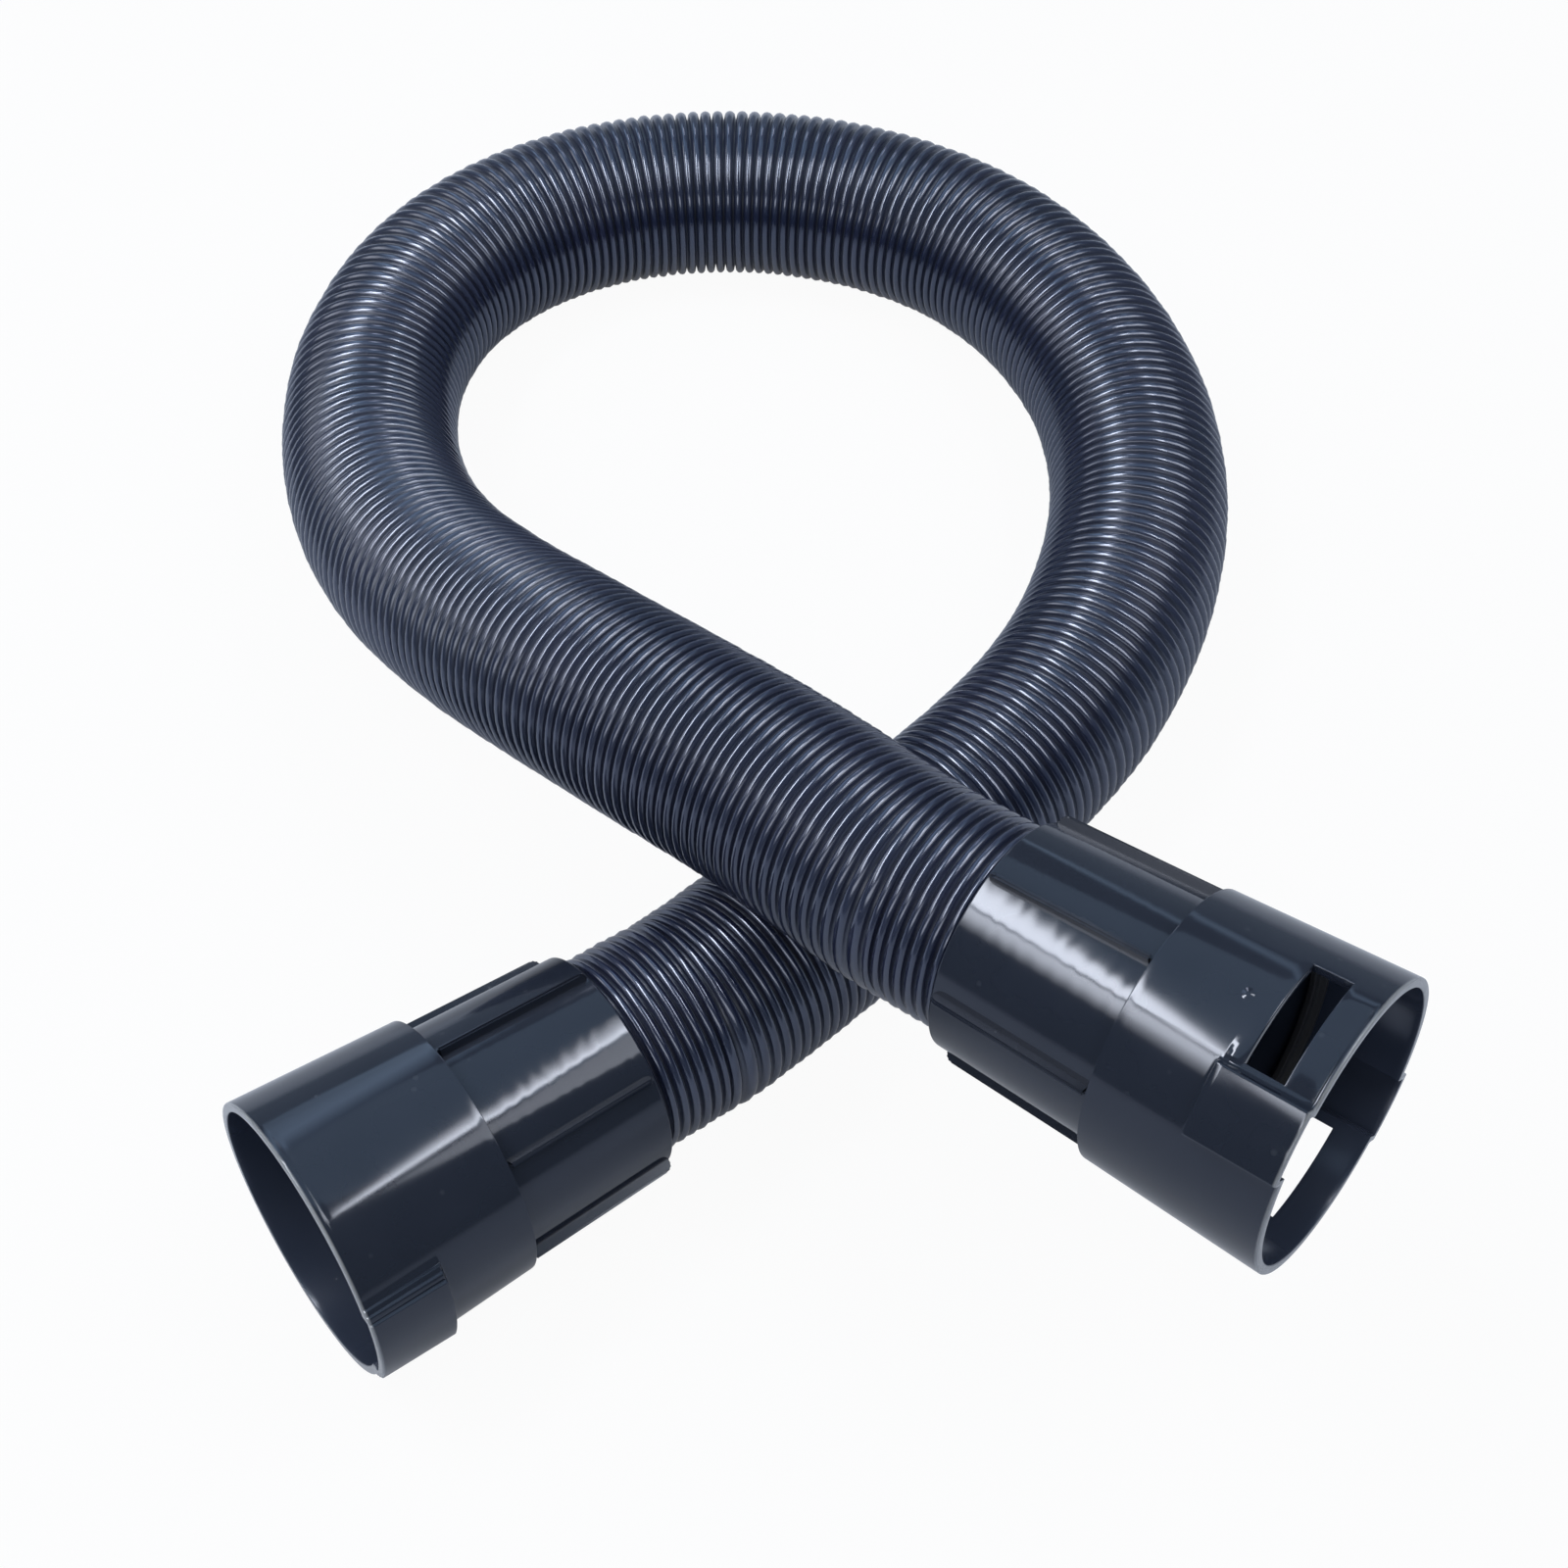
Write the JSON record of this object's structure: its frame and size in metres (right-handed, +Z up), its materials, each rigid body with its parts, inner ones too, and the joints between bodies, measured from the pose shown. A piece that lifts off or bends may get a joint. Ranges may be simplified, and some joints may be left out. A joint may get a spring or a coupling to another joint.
{
  "type": "vacuum hose",
  "caption": "Close-ribbed stretch hose laid in one loop that crosses itself, with a finned, threaded sleeve and a swivelling bell socket at each end, one of them with latch windows",
  "frame": {"origin": "on the floor the hose lies on, under the middle of the whole hose as it lies", "axes": "+Z up from the floor, +Y from the two cuffs towards the far end of the loop, +X towards the machine cuff with the latch windows"},
  "size_m": [0.2786, 0.4268, 0.1229],
  "materials": {
    "hose": "near-black flexible plastic, semi-gloss",
    "cuff": "near-black moulded plastic, polished",
    "rubber": "black soft rubber, matte",
    "slip": "natural low-friction plastic",
    "spring": "plain spring steel"
  },
  "bodies": {
    "hose": {"hose_wall": "hose", "machine_sleeve": "cuff", "machine_swivel_seal": "rubber", "machine_retaining_ring": "spring", "machine_hose_washer": "rubber", "wand_sleeve": "cuff", "wand_swivel_seal": "rubber", "wand_retaining_ring": "spring", "wand_hose_washer": "rubber"},
    "machine_socket": {"machine_bell": "cuff", "machine_mouth_seal": "rubber", "machine_slip_washer": "slip"},
    "wand_socket": {"wand_bell": "cuff", "wand_mouth_seal": "rubber", "wand_slip_washer": "slip"}
  },
  "joints": [
    {"name": "machine_swivel", "type": "hinge", "parent": "hose", "child": "machine_socket", "pos_m": [0.1187, -0.1862, 0.0892], "axis": [0.7902, -0.6085, 0.0732], "continuous": true},
    {"name": "wand_swivel", "type": "hinge", "parent": "hose", "child": "wand_socket", "pos_m": [-0.1007, -0.1829, 0.03411], "axis": [-0.805, -0.5914, 0.0471], "continuous": true}
  ]
}
